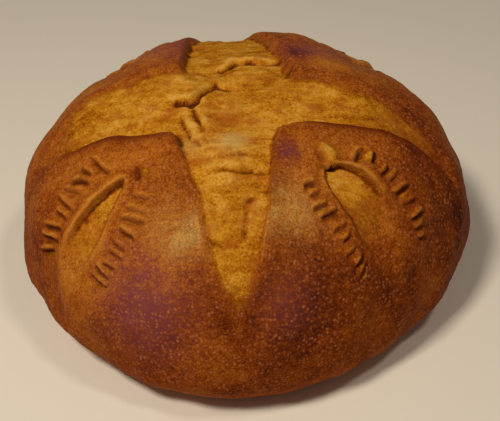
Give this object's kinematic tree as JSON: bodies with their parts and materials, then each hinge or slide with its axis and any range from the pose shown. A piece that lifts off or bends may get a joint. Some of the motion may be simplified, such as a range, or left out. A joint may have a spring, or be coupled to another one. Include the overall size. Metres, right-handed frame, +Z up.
{
  "type": "sourdough loaf",
  "caption": "Round domed sourdough loaf: browned crust split by a wide-open cross score over golden crumb, with wheat-ear cuts on its petals; a prop for tables and kitchens.",
  "frame": {"origin": "on the flat base, under the middle of the loaf's box", "axes": "+Z up through the dome, -Y to the front, the side that the picture shows, +X to the right as seen from the front"},
  "size_m": [0.2546, 0.2564, 0.1164],
  "materials": {
    "baked_crust": null
  },
  "bodies": {
    "root": {"loaf": "baked_crust"}
  },
  "joints": []
}
